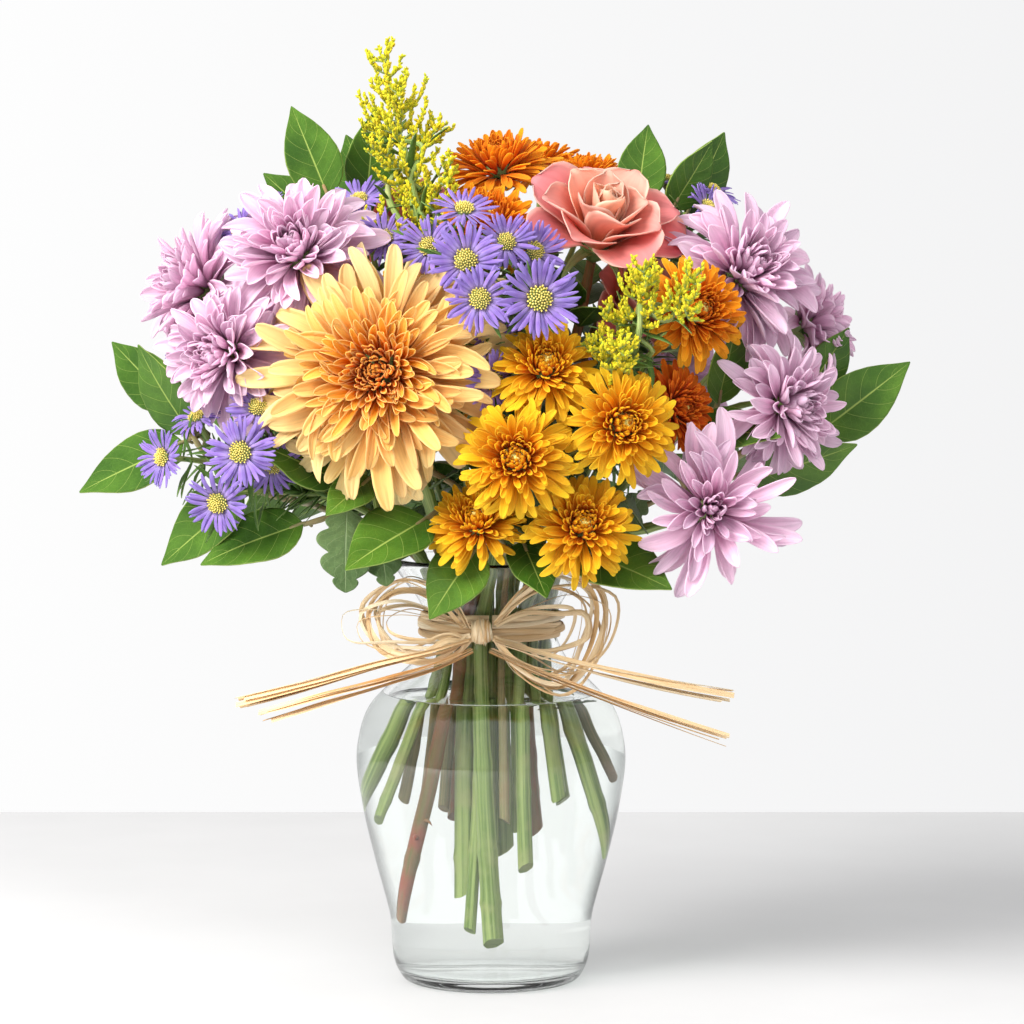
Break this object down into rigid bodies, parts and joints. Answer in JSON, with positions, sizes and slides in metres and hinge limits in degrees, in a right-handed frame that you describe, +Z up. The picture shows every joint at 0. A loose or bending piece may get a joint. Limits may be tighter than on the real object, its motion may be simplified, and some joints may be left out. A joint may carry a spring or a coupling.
{
  "type": "cut flower bouquet in a glass vase",
  "caption": "Bouquet of cut chrysanthemums, asters, roses, goldenrod and salal leaves standing in water in a clear flared-neck glass vase, with a raffia bow round its neck.",
  "frame": {"origin": "centre of the vase's flat underside, where it stands on the table", "axes": "+Z up along the vase's axis; -Y is the front of the bouquet, where the bow and the largest chrysanthemum face; +X to the right seen from the front"},
  "size_m": [0.3682, 0.2248, 0.4242],
  "materials": {
    "glass": "gloss",
    "water": "gloss",
    "raffia": "satin",
    "stem_green": "satin",
    "leaf_green": "satin",
    "aster_purple": "matte",
    "goldenrod_yellow": "matte",
    "petal_peach": "matte",
    "petal_gold": "matte",
    "petal_orange": "matte",
    "petal_lavender": "matte",
    "petal_rose": "satin"
  },
  "bodies": {
    "root": {"vase": "glass", "water": "water", "raffia_band": "raffia", "raffia_knot": "raffia", "raffia_loop_left": "raffia", "raffia_loop_right": "raffia", "raffia_tail_1": "raffia", "raffia_tail_2": "raffia", "raffia_tail_3": "raffia", "raffia_tail_4": "raffia", "peach_mum": "petal_peach", "gold_mum_1": "petal_gold", "gold_mum_2": "petal_gold", "gold_mum_3": "petal_gold", "gold_mum_4": "petal_gold", "gold_mum_5": "petal_gold", "gold_mum_6": "petal_gold", "gold_mum_7": "petal_gold", "orange_mum_1": "petal_orange", "orange_mum_2": "petal_orange", "orange_mum_3": "petal_orange", "orange_mum_4": "petal_orange", "orange_mum_5": "petal_orange", "orange_mum_6": "petal_orange", "lavender_mum_1": "petal_lavender", "lavender_mum_2": "petal_lavender", "lavender_mum_3": "petal_lavender", "lavender_mum_4": "petal_lavender", "lavender_mum_5": "petal_lavender", "lavender_mum_6": "petal_lavender", "lavender_mum_7": "petal_lavender", "lavender_mum_8": "petal_lavender", "lavender_mum_9": "petal_lavender", "rose_1": "petal_rose", "rose_2": "petal_rose", "rose_3": "petal_rose", "gold_mum_stem": "stem_green", "salal_front": "leaf_green", "rose_1_stem": "stem_green", "lavender_mum_stem_low": "stem_green", "aster_spray_left": "aster_purple", "orange_mum_stem_right": "stem_green", "lavender_mum_stem_left": "stem_green", "lavender_mum_stem_right": "stem_green", "salal_left": "leaf_green", "salal_right": "leaf_green", "salal_back": "leaf_green", "aster_spray_back": "aster_purple", "gold_mum_stem_back": "stem_green", "lavender_mum_stem_back": "stem_green", "peach_mum_stem": "stem_green", "goldenrod_tall": "goldenrod_yellow", "goldenrod_right": "goldenrod_yellow", "rose_2_stem": "stem_green", "goldenrod_back": "goldenrod_yellow", "rose_3_stem": "stem_green", "salal_top": "leaf_green", "aster_spray_centre": "aster_purple", "orange_mum_stem_top": "stem_green", "aster_spray_top": "aster_purple"}
  },
  "joints": []
}
